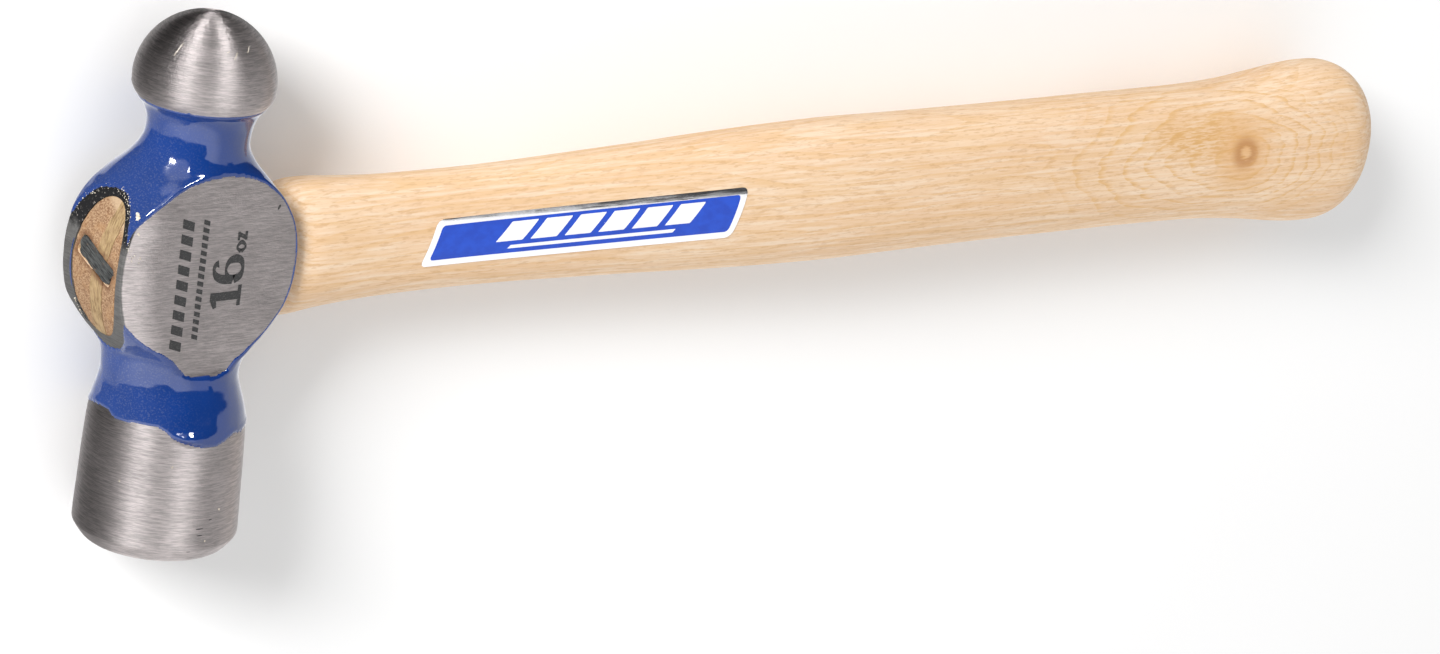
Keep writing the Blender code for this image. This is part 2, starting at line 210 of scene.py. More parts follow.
def smooth_min(a, b, k):
    h = np.clip(0.5 + 0.5 * (b - a) / k, 0.0, 1.0)
    return b * (1 - h) + a * h - k * h * (1 - h)


def smoothstep(low, high, x):
    t = np.clip((x - low) / (high - low), 0.0, 1.0)
    return t * t * (3 - 2 * t)


def ripple(points, size, seed):
    """Smooth random waves in space, about -1 to 1, with that feature size."""
    rng = np.random.default_rng(seed)
    out = np.zeros(points.shape[:-1])
    for _ in range(9):
        direction = rng.normal(size=3)
        direction *= rng.uniform(0.6, 1.7) * 2 * math.pi / size
        direction /= np.linalg.norm(rng.normal(size=3)) + 0.6
        out += np.sin(points @ direction + rng.uniform(0, 2 * math.pi))
    return out / 4.0


def add_object(name, data):
    obj = bpy.data.objects.new(name, data)
    bpy.context.scene.collection.objects.link(obj)
    return obj


def mesh_piece(name, verts, faces, material, smooth=True):
    """New mesh from drawn-unit points, with its faces turned outwards."""
    mesh = bpy.data.meshes.new(name)
    mesh.from_pydata([tuple(v) for v in world(verts).tolist()], [], faces)
    mesh.validate()
    bm = bmesh.new()
    bm.from_mesh(mesh)
    bmesh.ops.recalc_face_normals(bm, faces=bm.faces[:])
    bm.to_mesh(mesh)
    bm.free()
    if smooth:
        mesh.shade_smooth()
    mesh.materials.append(material)
    return add_object(name, mesh)


def ring_faces(rows, columns):
    """Quads between rings of points that are stored one after another."""
    faces = []
    for a in range(0, (rows - 1) * columns, columns):
        for c in range(columns):
            d = (c + 1) % columns
            faces.append((a + c, a + d, a + columns + d, a + columns + c))
    return faces


def tube_solid(name, rings, material, start_tip=None, end_tip=None):
    """Closed skin over equal rings with a tip at each end."""
    rows, columns = len(rings), len(rings[0])
    tips = [rings[0].mean(0) if start_tip is None else start_tip,
            rings[-1].mean(0) if end_tip is None else end_tip]
    faces = ring_faces(rows, columns)
    first, last = rows * columns, rows * columns + 1
    end = (rows - 1) * columns
    for c in range(columns):
        d = (c + 1) % columns
        faces += [(d, c, first), (end + c, end + d, last)]
    return mesh_piece(name, np.concatenate([np.reshape(rings, (-1, 3)), tips]), faces, material)


def bars(name, stations, material):
    """Closed bars: each is an array of corners, four at every station."""
    verts, faces = [], []
    for corners in stations:
        start = len(verts)
        end = start + 4 * (len(corners) - 1)
        faces += [tuple(start + i for i in face) for face in ring_faces(len(corners), 4)]
        faces += [(start, start + 3, start + 2, start + 1), (end, end + 1, end + 2, end + 3)]
        verts += np.reshape(corners, (-1, 3)).tolist()
    return mesh_piece(name, verts, faces, material, smooth=False)


def around(columns):
    """Cosines and sines of evenly spaced angles round a ring."""
    angle = 2 * math.pi * np.arange(columns) / columns
    return np.cos(angle), np.sin(angle)


def superellipse(columns, half_y, half_z, power):
    """Offsets in y and z round an oval."""
    cos_a, sin_a = around(columns)
    y = np.sign(cos_a) * np.abs(cos_a) ** (2 / power) * half_y
    z = np.sign(sin_a) * np.abs(sin_a) ** (2 / power) * half_z
    return y, z


def cut(obj, cutter, operation="DIFFERENCE"):
    """Applies a Boolean with the cutter, which is then removed."""
    mod = obj.modifiers.new("cut", "BOOLEAN")
    mod.operation = operation
    mod.solver = "EXACT"
    mod.object = cutter
    graph = bpy.context.evaluated_depsgraph_get()
    mesh = bpy.data.meshes.new_from_object(obj.evaluated_get(graph))
    obj.modifiers.clear()
    old = obj.data
    obj.data = mesh
    mesh.name = obj.name
    bpy.data.meshes.remove(old)
    bpy.data.objects.remove(cutter, do_unlink=True)


def soft_edges(obj, degrees):
    obj.data.shade_smooth()
    obj.data.set_sharp_from_angle(angle=math.radians(degrees))


def settle(obj, replaced=None):
    """Puts a finished piece on the hammer's one body."""
    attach(obj, "root")
    if replaced:
        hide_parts(replaced)


# ---- nodes
def wire(socket, value):
    """Links a node's output to a socket, or sets the socket's own value."""
    if isinstance(value, Output):
        socket.id_data.links.new(value.socket, socket)
    elif value is not None:
        socket.default_value = value


def calculate(operation, *values):
    """One Math node on numbers and outputs."""
    tree = next(v.socket.id_data for v in values if isinstance(v, Output))
    node = tree.nodes.new("ShaderNodeMath")
    node.operation = operation
    for socket, value in zip(node.inputs, values):
        wire(socket, value)
    return Output(node.outputs[0])


class Output:
    """A node's output that takes Python's arithmetic."""

    def __init__(self, socket):
        self.socket = socket

    def __add__(self, other):
        return calculate("ADD", self, other)

    def __sub__(self, other):
        return calculate("SUBTRACT", self, other)

    def __rsub__(self, other):
        return calculate("SUBTRACT", other, self)

    def __mul__(self, other):
        return calculate("MULTIPLY", self, other)

    def __truediv__(self, other):
        return calculate("DIVIDE", self, other)

    def ramp(self, low, high, at_low=0.0, at_high=1.0):
        """Smooth step from one number to another between two values."""
        node = self.socket.id_data.nodes.new("ShaderNodeMapRange")
        node.interpolation_type = "SMOOTHSTEP"
        for key, value in (("Value", self), ("From Min", low), ("From Max", high),
                           ("To Min", at_low), ("To Max", at_high)):
            wire(node.inputs[key], value)
        return Output(node.outputs[0])

    def split(self):
        node = self.socket.id_data.nodes.new("ShaderNodeSeparateXYZ")
        wire(node.inputs[0], self)
        return [Output(socket) for socket in node.outputs]


def far(a, b):
    """Distance from two of its components."""
    return calculate("SQRT", a * a + b * b)


class Paint:
    """One node material, in drawn-unit coordinates."""

    def __init__(self, name):
        self.material = bpy.data.materials.new(name)
        self.material.use_nodes = True
        self.tree = self.material.node_tree
        self.shader = self.tree.nodes["Principled BSDF"]
        coords = self.tree.nodes.new("ShaderNodeTexCoord")
        self.point = self.moved(1 / UNIT, -EYE / UNIT, vector=Output(coords.outputs["Object"]))
        self.x, self.y, self.z = self.point.split()

    def set(self, **values):
        for key, value in values.items():
            wire(self.shader.inputs[key.replace("_", " ")], value)

    def moved(self, scale=1.0, shift=(0, 0, 0), turn=(0, 0, 0), vector=None):
        node = self.tree.nodes.new("ShaderNodeMapping")
        wire(node.inputs["Vector"], vector or self.point)
        node.inputs["Scale"].default_value = scale if isinstance(scale, tuple) else (scale,) * 3
        node.inputs["Location"].default_value = shift
        node.inputs["Rotation"].default_value = turn
        return Output(node.outputs[0])

    def noise(self, scale, detail=2.0, rough=0.5, shift=(0, 0, 0), turn=(0, 0, 0), vector=None, distort=0.0):
        node = self.tree.nodes.new("ShaderNodeTexNoise")
        wire(node.inputs["Vector"], self.moved(scale, shift, turn, vector))
        for key, value in (("Scale", 1.0), ("Detail", detail), ("Roughness", rough), ("Distortion", distort)):
            node.inputs[key].default_value = value
        return Output(node.outputs[0])

    def mix(self, fac, a, b):
        node = self.tree.nodes.new("ShaderNodeMix")
        node.data_type = "RGBA"
        wire(node.inputs[0], fac)
        for socket, value in ((node.inputs[6], a), (node.inputs[7], b)):
            wire(socket, (*value, 1.0) if isinstance(value, tuple) else value)
        return Output(node.outputs[2])

    def shade(self, colour, value):
        """Colour times a number."""
        node = self.tree.nodes.new("ShaderNodeVectorMath")
        node.operation = "SCALE"
        wire(node.inputs[0], colour)
        wire(node.inputs["Scale"], value)
        return Output(node.outputs[0])

    def bump(self, height, strength, distance):
        node = self.tree.nodes.new("ShaderNodeBump")
        node.inputs["Strength"].default_value = strength
        node.inputs["Distance"].default_value = distance * UNIT
        wire(node.inputs["Height"], height)
        return Output(node.outputs[0])

    def along_y(self):
        """Brushed lines run round the head, so gloss stretches along y."""
        node = self.tree.nodes.new("ShaderNodeCombineXYZ")
        node.inputs[1].default_value = 1.0
        self.set(Tangent=Output(node.outputs[0]))


# ---- materials
def steel_material():
    p = Paint("ground_steel")
    fine = p.noise((0.5, 7.0, 0.5), 3.0, 0.65)
    medium = p.noise((0.22, 2.6, 0.22), 2.0, 0.6, (7, 3, 1))
    broad = p.noise(0.12, 2.0, 0.5, (3, 8, 5))
    lines = fine * 0.6 + medium * 0.4
    # each line also leans a little its own way, which frays the bright bands
    lean = p.noise((1.5, 5.0, 1.5), 2.0, 0.6, (5, 5, 5))
    tone = lines.ramp(0.36, 0.64, 0.70, 1.20) * broad.ramp(0.3, 0.7, 0.93, 1.05)
    base = p.shade((0.57, 0.522, 0.517), tone)
    # the grey ring round the eye's front, behind the arc that it is ground to
    edge_wobble = p.noise(0.9, 4.0, 0.7, (2, 5, 9))
    dy = p.y - GRIND_Y
    behind_arc = p.x - GRIND_X + calculate("SQRT", GRIND_R ** 2 - dy * dy)
    behind_arc = behind_arc - p.y.ramp(-14.8, -11.0, 1.8, 0.0)
    ring = (behind_arc + edge_wobble * 0.4).ramp(0.45, 0.80, 1.0, 0.0)
    ring = ring * p.y.ramp(-18.6, -17.8) * p.y.ramp(17.0, 18.0, 1.0, 0.0)
    base = p.mix(ring * 0.9, base, p.shade((0.096, 0.098, 0.094), tone))
    # painted reflection on its upper part: near-black colour where the ground steel would mirror the dim
    # surround, flecked with pale dust specks
    painted_reflection_mask = (p.y + edge_wobble * 5.0).ramp(6.6, 9.4) * ring
    specks = p.noise(2.2, 2.0, 0.6).ramp(0.63, 0.70)
    reflection_and_specks = p.mix(specks, (0.012, 0.012, 0.013), (0.22, 0.20, 0.18))
    # the ring's near-black upper part in this base colour is a painted reflection
    p.set(Base_Color=p.mix(painted_reflection_mask, base, reflection_and_specks), Anisotropic=0.985,
          Metallic=1.0 - calculate("MAXIMUM", ring * 0.7, painted_reflection_mask),
          Roughness=lines.ramp(0.3, 0.7, 0.49, 0.56) + ring * 0.15,
          Normal=p.bump(lines + lean * 0.8, 0.75, 0.11))
    p.along_y()
    return p.material


def enamel_material():
    p = Paint("blue_enamel")
    orange_peel = p.noise(0.55, shift=(4, 4, 4))
    dust = p.noise(3.2, 2.0, 0.6)
    base = p.mix(p.noise(0.10).ramp(0.3, 0.7), (0.0025, 0.027, 0.155), (0.0040, 0.033, 0.185))
    # dust specks and an even grey veil, both stronger towards the eye's front
    haze = dust.ramp(0.48, 0.74, 0.0, 0.26) * p.x.ramp(-15.0, 0.0, 1.0, 0.15)
    haze = haze + p.x.ramp(-15.0, -4.0, 0.085, 0.0)
    p.set(Base_Color=p.mix(haze, base, (0.17, 0.19, 0.25)), IOR=1.6,
          Roughness=p.noise(0.3, 3.0, 0.6).ramp(0.3, 0.7, 0.04, 0.12),
          Normal=p.bump(orange_peel, 0.20, 0.10))
    return p.material


def hickory_material():
    p = Paint("hickory")
    warp = p.noise((0.0065, 0.045, 0.045), 1.0, 0.4)
    sway = p.noise((0.020, 0.13, 0.13), 2.0, 0.5, (9, 2, 4))
    fray = p.noise((0.10, 0.9, 0.9), 3.0, 0.6, (6, 6, 1))
    patch = p.noise((0.02, 0.12, 0.12), 3.0, 0.5, (1, 6, 2))
    fibre = p.noise((0.048, 1.2, 1.2), 4.0, 0.62)
    pores = p.noise((0.34, 2.3, 2.3), 2.0, 0.6, (3, 3, 8))
    # growth layers along the handle
    layer = calculate("FRACT", p.y * 0.50 + p.z * 0.30 + warp * 11.0 + sway * 1.4)
    late = layer.ramp(0.55, 0.97) * layer.ramp(0.97, 1.0, 1.0, 0.0)
    # long rings round the knot near the butt, broken up by the fibre
    from_knot = far((p.x - 277.6) * p.x.ramp(268.0, 288.0, 1.0, 1.8), (p.y - 2.0) * 3.5)
    from_knot = from_knot + sway * 19.0 + fray * 2.6
    loop = calculate("FRACT", from_knot / 7.2)
    loops = loop.ramp(0.62, 0.95) * loop.ramp(0.95, 1.0, 1.0, 0.0)
    by_knot = from_knot.ramp(52.0, 86.0, 1.0, 0.0) * p.z.ramp(0.0, 4.0)
    late = late * by_knot.ramp(0.0, 1.0, 0.34, 0.10)
    late = late + loops * by_knot * fibre.ramp(0.40, 0.60, 0.35, 0.85)
    base = p.mix(patch.ramp(0.3, 0.7), (0.770, 0.528, 0.332), (0.815, 0.600, 0.408))
    base = p.mix(late, base, (0.70, 0.41, 0.15))
    base = p.mix(fibre.ramp(0.49, 0.60, 0.0, 0.42), base, (0.71, 0.45, 0.22))
    base = p.mix(fibre.ramp(0.38, 0.47, 0.35, 0.0), base, (0.86, 0.74, 0.60))
    pitted = pores.ramp(0.52, 0.63) * layer.ramp(0.1, 0.6, 0.4, 1.0)
    base = p.mix(pitted * 0.42, base, (0.56, 0.325, 0.15))
    # warmer wood beside the knot, towards the head
    warm = far((p.x - 265.0) / 16.0, (p.y - 7.0) / 5.5)
    warm = (warm * warm).ramp(0.0, 1.6, 1.0, 0.0) * patch.ramp(0.3, 0.6, 0.4, 1.0)
    base = p.mix(warm * pores.ramp(0.42, 0.60, 0.35, 0.9), base, (0.66, 0.37, 0.13))
    # the knot: brown rim, paler middle, orange halo, on the marked side only
    knot = far((p.x - 278.4) / 2.6, (p.y - 2.8) / 2.3) + (pores - 0.5) * 0.9
    rim = knot.ramp(0.25, 0.85) * knot.ramp(0.85, 2.1, 1.0, 0.0)
    side = p.z.ramp(2.0, 6.0)
    base = p.mix(knot.ramp(0.4, 5.5, 1.0, 0.0) * side * 0.52, base, (0.68, 0.36, 0.12))
    base = p.mix(rim * side * 0.75, base, (0.46, 0.21, 0.07))
    p.set(Base_Color=base, Roughness=fibre.ramp(0.3, 0.7, 0.50, 0.64), Specular_IOR_Level=0.35,
          Normal=p.bump(fibre * -0.5 - pitted, 0.22, 0.10))
    return p.material


def stain(p, base, strength):
    """Brown rust and bruising round the steel wedge."""
    moved = p.moved(shift=(0, -STEEL_CENTRE[0], -STEEL_CENTRE[1]))
    _, across, along = p.moved(turn=(-STEEL_TURN, 0, 0), vector=moved).split()
    outside = [calculate("MAXIMUM", calculate("ABSOLUTE", value) - size / 2, 0.0)
               for value, size in ((along, STEEL_LENGTH), (across, STEEL_FRONT))]
    away = far(*outside) + (p.noise(0.6, 3.0, 0.6) - 0.5) * 2.4
    return p.mix(away.ramp(0.0, 1.5, strength, 0.0), base, (0.13, 0.055, 0.022))


def end_grain_material():
    p = Paint("hickory_end_grain")
    cell = p.noise((1.0, 3.0, 3.0), 3.0, 0.65, distort=0.6)
    spot = p.noise((0.4, 0.35, 0.35), 3.0, 0.5, (5, 1, 2))
    base = p.mix(cell.ramp(0.35, 0.65), (0.17, 0.078, 0.034), (0.39, 0.255, 0.145))
    base = p.mix(spot.ramp(0.45, 0.70, 0.0, 0.55), base, (0.34, 0.185, 0.08))
    # paler margin along the top and the marked side
    edge = p.y * 0.9 + p.z * 0.55 + spot * 2.0
    base = p.mix(edge.ramp(10.6, 12.6, 0.0, 0.7), base, (0.46, 0.335, 0.21))
    p.set(Base_Color=stain(p, base, 0.85), Roughness=0.75, Normal=p.bump(cell, 0.6, 0.18))
    return p.material


def wedge_wood_material():
    p = Paint("wedge_wood")
    fibre = p.noise((0.3, 0.55, 3.2), 4.0, 0.65, (1, 2, 3), (-0.2, 0, 0))
    base = p.mix(fibre.ramp(0.32, 0.68), (0.17, 0.095, 0.040), (0.38, 0.27, 0.13))
    base = p.mix(p.noise(0.5).ramp(0.4, 0.7, 0.0, 0.5), base, (0.41, 0.285, 0.15))
    p.set(Base_Color=stain(p, base, 0.9), Roughness=0.7, Normal=p.bump(fibre, 0.6, 0.2))
    return p.material


def wedge_steel_material():
    p = Paint("wedge_steel")
    streak = p.noise((0.4, 3.4, 0.45), 3.0, 0.6, vector=p.moved(turn=(-STEEL_TURN, 0, 0)))
    rust = p.noise(0.8, 3.0, 0.6, (4, 1, 6))
    base = p.mix(streak.ramp(0.30, 0.70), (0.016, 0.017, 0.018), (0.105, 0.11, 0.107))
    base = p.mix(rust.ramp(0.60, 0.72, 0.0, 0.6), base, (0.20, 0.11, 0.06))
    p.set(Base_Color=base, Metallic=0.35, Roughness=streak.ramp(0.3, 0.7, 0.65, 0.45),
          Normal=p.bump(streak, 0.6, 0.2))
    return p.material


def foil_material(name, low, high, metallic, roughness):
    p = Paint(name)
    grain = p.noise((0.35, 0.5, 0.5), 3.0, 0.55)
    fine = p.noise((0.09, 2.2, 2.2))
    p.set(Base_Color=p.mix(grain.ramp(0.3, 0.7), low, high), Metallic=metallic,
          Roughness=fine.ramp(0.3, 0.7, roughness, roughness + 0.10),
          Normal=p.bump(grain, 0.05, 0.10))
    return p.material


def etched_material():
    p = Paint("etched_marking")
    break_up = p.noise((2.2, 5.0, 2.2), 3.0, 0.6)
    base = p.mix(break_up.ramp(0.50, 0.74), (0.012, 0.012, 0.013), (0.13, 0.125, 0.12))
    p.set(Base_Color=base, Roughness=break_up.ramp(0.3, 0.7, 0.5, 0.75), Normal=p.bump(break_up, 0.3, 0.05))
    return p.material


def glue_material():
    p = Paint("dried_glue")
    lump = p.noise(1.8, 3.0, 0.6)
    base = p.mix(lump.ramp(0.35, 0.65), (0.50, 0.43, 0.33), (0.74, 0.69, 0.60))
    p.set(Base_Color=base, Roughness=0.6, Normal=p.bump(lump, 0.6, 0.2))
    return p.material


STEEL = steel_material()
ENAMEL = enamel_material()
HICKORY = hickory_material()
END_GRAIN = end_grain_material()
WEDGE_WOOD = wedge_wood_material()
WEDGE_STEEL = wedge_steel_material()
FOIL_SILVER = foil_material("silver_foil", (0.90, 0.90, 0.93), (0.95, 0.95, 0.97), 1.0, 0.05)
FOIL_BLUE = foil_material("blue_foil", (0.002, 0.053, 0.48), (0.004, 0.070, 0.57), 0.20, 0.05)
FOIL_WHITE = foil_material("white_print", (0.86, 0.87, 0.90), (0.95, 0.95, 0.97), 0.0, 0.25)
ETCHED = etched_material()
GLUE = glue_material()


# ---- head
def grind_arc(y):
    """Where the eye end's ground arc lies."""
    return GRIND_X - np.sqrt(np.maximum(GRIND_R ** 2 - (y - GRIND_Y) ** 2, 1.0))


def head_surface(ys, columns):
    """Points of the head's outer skin, and how far each is into a cheek's flat."""
    ys = np.asarray(ys, float)
    front, rear, half, power = hermite(HEAD_SECTIONS, ys).T
    ball = ys > BALL_END_Y
    round_r = np.sqrt(np.maximum(BALL_R ** 2 - (ys - BALL_Y) ** 2, 0.0))
    front, rear, half = (np.where(ball, round_r, v) for v in (front, rear, half))
    power = np.where(ball, 2.0, np.maximum(power, 2.0))
    cos_a, sin_a = around(columns)
    ahead = cos_a < 0
    soft = 2.0 + (power - 2.0) * FRONT_SOFTER
    n = np.where(ahead, soft[:, None], power[:, None])
    reach = np.maximum(np.where(ahead, front[:, None], rear[:, None]), 1e-6)
    width = np.maximum(half[:, None], 1e-6)
    r = (np.abs(cos_a / reach) ** n + np.abs(sin_a / width) ** n) ** (-1 / n)
    x, z = r * cos_a, r * sin_a
    y = np.broadcast_to(ys[:, None], x.shape)
    flat_z = CHEEK_Z + np.maximum(CHEEK_END_Y - y, 0.0) / 1.2
    # the flat rolls over towards the eye end, most on the marked side
    arc = grind_arc(y)
    roll = smoothstep(-16.5, -12.0, y) * smoothstep(14.0, 8.0, y) * np.where(z > 0, 1.0, 0.4)
    flat_z = flat_z - CHEEK_ROLL * np.clip(CHEEK_ROLL_X - (x - arc), 0.0, 12.0) ** 2 * roll
    into_cheek = np.where(y < CHEEK_TOP_Y, np.abs(z) - flat_z, -5.0)
    z = np.where(y < CHEEK_TOP_Y, np.sign(z) * smooth_min(np.abs(z), flat_z, 0.55), z)
    # the ground arc ends above the lower neck and below the upper one
    arc = np.where(y > GRIND_HIGH_Y, -99.0, arc - 40.0 * np.maximum(GRIND_LOW_Y + 0.4 - y, 0.0))
    x = -smooth_min(-x, -arc, 0.5)
    return np.stack([x, y, z], -1), into_cheek


def grid_normals(points):
    """Outward unit normals of a grid closed round its columns."""
    across = np.roll(points, -1, 1) - np.roll(points, 1, 1)
    normal = np.cross(np.gradient(points, axis=0), across)
    normal /= np.maximum(np.linalg.norm(normal, axis=-1, keepdims=True), 1e-9)
    outward = points * np.array([1.0, 0.0, 1.0])
    return normal * np.sign((normal * outward).sum(-1, keepdims=True) + 1e-9)


def eye_outline(x, columns, inset):
    half_y, half_z = hermite(EYE_SECTIONS, [x])[0]
    ahead = min(1.0, max(0.0, (8.0 - x) / 26.0))
    y, z = superellipse(columns, half_y - inset, half_z - inset, EYE_POWER)
    z = z + ahead * (EYE_SHIFT_Z + EYE_LEAN * y)
    return np.stack([np.full(columns, x), EYE_CENTRE_Y + y, z], -1)


def build_head():
    ball = BALL_Y + BALL_R * np.sin(np.radians(np.arange(88.0, 0.0, -2.0)))
    ball = ball[ball > BALL_END_Y + 0.2]
    body = np.arange(BALL_END_Y, -52.4, -0.34)
    rim = np.array([-52.5, -52.7, -52.9, -53.1, -53.4, -53.8, -54.3, -54.8, -55.1, -55.35, -55.55, FACE_Y])
    skin, _ = head_surface(np.concatenate([ball, body, rim]), HEAD_COLUMNS)
    shares = [(share, 1.0, share) for share in (0.985, 0.9, 0.75, 0.55, 0.35, 0.15)]
    rings = np.concatenate([skin, skin[-1] * np.array(shares)[:, None]])
    obj = tube_solid("head_steel", rings, STEEL, (0, BALL_TOP_Y, 0), (0, FACE_Y, 0))
    eye = [eye_outline(x, 160, 0.0) for x in np.linspace(-24.0, 24.0, 25)]
    cut(obj, tube_solid("eye_cutter", eye, STEEL))
    soft_edges(obj, 35)
    settle(obj, "head")


def enamel_low_edge(angle_degrees):
    table = [(a + turn, y) for turn in (-360, 0, 360) for a, y in ENAMEL_EDGE]
    return hermite(table, angle_degrees.ravel())[:, 0].reshape(angle_degrees.shape)


def paint_margins(skin, into_cheek):
    """How far each point lies inside every edge of the enamel, and the ring."""
    x, y, z = skin[..., 0], skin[..., 1], skin[..., 2]
    wave = ripple(skin, 7.0, 4) * 0.6 + ripple(skin, 3.0, 5) * 0.4
    cheek = 0.45 + wave * (0.14 + 0.16 * smoothstep(-9.0, -15.0, y)) - into_cheek
    # bare oval round the eye's front: blunter below and on the plain side
    power = np.where(y < RING_Y, np.where(z > 0, 2.15, 2.6), 2.25)
    half_z = RING_HALF_Z - 0.6 * smoothstep(2.0, 9.0, y) * (z > 0)
    half_z = half_z + 2.4 * smoothstep(8.0, 4.0, y) * (z < 0)
    oval = (np.abs((y - RING_Y) / RING_HALF_Y) ** power + np.abs(z / half_z) ** power) ** (1 / power)
    ring = np.where(x < 0, (oval - 1) * 11.0 + wave * 0.25, 9.0)
    low = y - enamel_low_edge(np.degrees(np.arctan2(z, x))) + wave * 0.12
    top = ENAMEL_TOP_Y + wave * 0.14 - y
    # bare rim round the eye's rear opening
    half_y, half_z = hermite(EYE_SECTIONS, [18.0])[0] + 0.6
    rear = np.abs((y - EYE_CENTRE_Y) / half_y) ** EYE_POWER + np.abs(z / half_z) ** EYE_POWER
    eye = np.where(x > 0, (rear - 1) * 4.0, 9.0)
    return np.min([cheek, ring, low, top, eye], 0), (x < 0) & (np.abs(oval - 1) < 0.035)


def distance_in(skin, painted):
    """Distance from each point to the enamel's edge, negative outside it."""
    down = ((skin[1:] + skin[:-1]) / 2)[painted[1:] != painted[:-1]]
    round_head = ((skin + np.roll(skin, -1, 1)) / 2)[painted != np.roll(painted, -1, 1)]
    edges = np.concatenate([down, round_head])
    tree = KDTree(len(edges))
    for i, point in enumerate(edges):
        tree.insert(point, i)
    tree.balance()
    away = np.array([tree.find(p)[2] for p in skin.reshape(-1, 3).tolist()])
    return away.reshape(painted.shape) * np.where(painted, 1, -1)


def build_enamel():
    """A film with a thick wavy rim, sunk into the steel beyond its edge."""
    skin, into_cheek = head_surface(np.arange(31.6, -34.6, -0.26), ENAMEL_COLUMNS)
    y = skin[..., 1]
    margin, on_ring = paint_margins(skin, into_cheek)
    away = distance_in(skin, margin > 0)
    thick = ENAMEL_THICK * (1 - np.exp(-np.maximum(away, 0) / 0.28))
    sag = 0.5 + 0.5 * smoothstep(-26.0, -30.5, y)
    thick = thick + 0.13 * sag * np.exp(-((away - 0.62) / 0.45) ** 2)
    thick = thick + 0.03 * ripple(skin, 3.5, 8) * smoothstep(0.3, 1.5, away)
    degrees = np.degrees(np.arctan2(skin[..., 2], skin[..., 0]))
    drip = np.exp(-((degrees - 106) / 15) ** 2 - ((y + 31.0) / 1.15) ** 2)
    thick = thick + 0.85 * drip * smoothstep(0.0, 0.9, away)
    thick = np.where(away < 0, 0.9 * away, thick)
    normal = grid_normals(skin)
    verts = np.concatenate([skin + normal * thick[..., None], skin - normal * 0.45]).reshape(-1, 3)
    keep = away > -0.42
    quad = keep[:-1] & keep[1:] & np.roll(keep, -1, 1)[:-1] & np.roll(keep, -1, 1)[1:]
    faces, sides = [], set()
    for r, c in zip(*np.nonzero(quad)):
        a, b = r * ENAMEL_COLUMNS + c, r * ENAMEL_COLUMNS + (c + 1) % ENAMEL_COLUMNS
        face = (a, b, b + ENAMEL_COLUMNS, a + ENAMEL_COLUMNS)
        faces += [face, tuple(away.size + i for i in face[::-1])]
        sides.update(zip(face, face[1:] + face[:1]))
    # walls where the film ends
    for m, n in sorted(sides):
        if (n, m) not in sides:
            faces.append((n, m, away.size + m, away.size + n))
    wanted, renumbered = np.unique(np.array(faces), return_inverse=True)
    faces = renumbered.reshape(-1, 4).tolist()
    settle(mesh_piece("enamel", verts[wanted], faces, ENAMEL))
    return skin[on_ring]


# ---- handle
def handle_outline(x, half_y, half_z, centre_y, columns):
    y, z = superellipse(columns, half_y, half_z, HANDLE_POWER)
    return np.stack([np.full(columns, x), centre_y + y, z], -1)


def handle_middle(x):
    settled = min(1.0, max(0.0, (x - 19.0) / 9.0))
    return EYE_CENTRE_Y * (1 - settled) + BUTT_DROP * smoothstep(240.0, 290.0, x)


def tenon_rings(columns, inset, lift):
    """Rings of the wood in the eye: its sawn end as a grid, then its sides."""
    outline = eye_outline(TENON_X, columns, inset)
    outline = outline + ripple(outline, 4.0, 21)[:, None] * np.array([0.0, 0.10, 0.10])
    middle = outline.mean(0)
    rings = []
    for share in (0.08, 0.2, 0.32, 0.44, 0.56, 0.68, 0.78, 0.87, 0.94, 0.985, 1.0):
        ring = middle + (outline - middle) * share
        ring[:, 0] = grind_arc(ring[:, 1]) + lift
        ring[:, 0] += ripple(ring * np.array([0, 1, 1]), 1.6, 22) * 0.07
        if share == 1.0:
            ring[:, 0] += 0.12
        rings.append(ring)
    for x in (-12.0, -6.0, 0.0, 6.0, 12.0, 18.4):
        rings.append(eye_outline(x, columns, inset + 0.1))
    tip = middle.copy()
    tip[0] = grind_arc(tip[1]) + lift
    return rings, tip


def kerf_block(name, spare, material):
    """Slanted taper as wide as the kerf, with rough sides."""
    rate = (WOOD_WEDGE_FRONT - WOOD_WEDGE_TIP) / (WOOD_WEDGE_END_X - FRONT_X)
    halves = ((CUT_FROM_X, WOOD_WEDGE_FRONT / 2 + rate * (FRONT_X - CUT_FROM_X) / 2 + spare),
              (WOOD_WEDGE_END_X + spare, WOOD_WEDGE_TIP / 2 + spare))
    steps = 40
    rings = []
    for x, half in halves:
        low = [(x, y, KERF_Z + KERF_LEAN * y - half) for y in np.linspace(-15.5, 15.5, steps)]
        high = [(x, y, KERF_Z + KERF_LEAN * y + half) for y in np.linspace(15.5, -15.5, steps)]
        rings.append(np.array(low + high))
    for ring, share in ((rings[0], 1.0), (rings[1], 0.5)):
        ring[:, 2] += 0.10 * share * np.sin(ring[:, 1] * 1.9 + 0.4) + 0.06 * np.sin(ring[:, 1] * 5.1)
    wide = 2 * steps
    faces = ring_faces(2, wide)
    for i in range(steps - 1):
        strip = (i, i + 1, wide - 2 - i, wide - 1 - i)
        faces += [strip, tuple(wide + k for k in strip[::-1])]
    return mesh_piece(name, np.concatenate(rings), faces, material)


